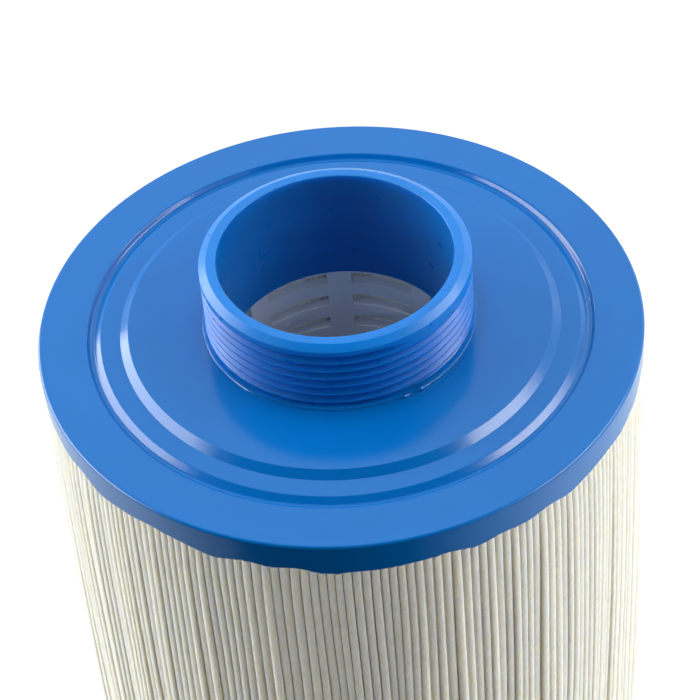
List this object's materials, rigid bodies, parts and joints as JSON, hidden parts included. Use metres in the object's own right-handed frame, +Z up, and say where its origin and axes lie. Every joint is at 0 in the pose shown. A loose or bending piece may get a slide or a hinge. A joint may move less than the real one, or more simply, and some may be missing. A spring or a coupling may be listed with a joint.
{
  "type": "filter cartridge",
  "caption": "Pleated filter cartridge with a slotted core, two cast end caps, one closed and one with a male-threaded outlet neck.",
  "frame": {"origin": "centre of the closed end cap's outer face, which the cartridge stands on", "axes": "+Z up the cartridge's axis and out of the threaded outlet; X and Y across it, with -Y towards the viewer"},
  "size_m": [0.1366, 0.1366, 0.2573],
  "materials": {
    "cap_resin": "satin gloss cast polyurethane, blue",
    "neck_plastic": "satin injection-moulded plastic, blue",
    "core_plastic": "translucent grey polypropylene",
    "filter_fabric": "white spun-bonded polyester, pleated"
  },
  "bodies": {
    "root": {"threaded_end_cap": "cap_resin", "threaded_nipple": "neck_plastic", "core_section_upper": "core_plastic", "core_section_lower": "core_plastic", "core_plug": "core_plastic", "pleated_media": "filter_fabric", "closed_end_cap": "cap_resin"}
  },
  "joints": []
}
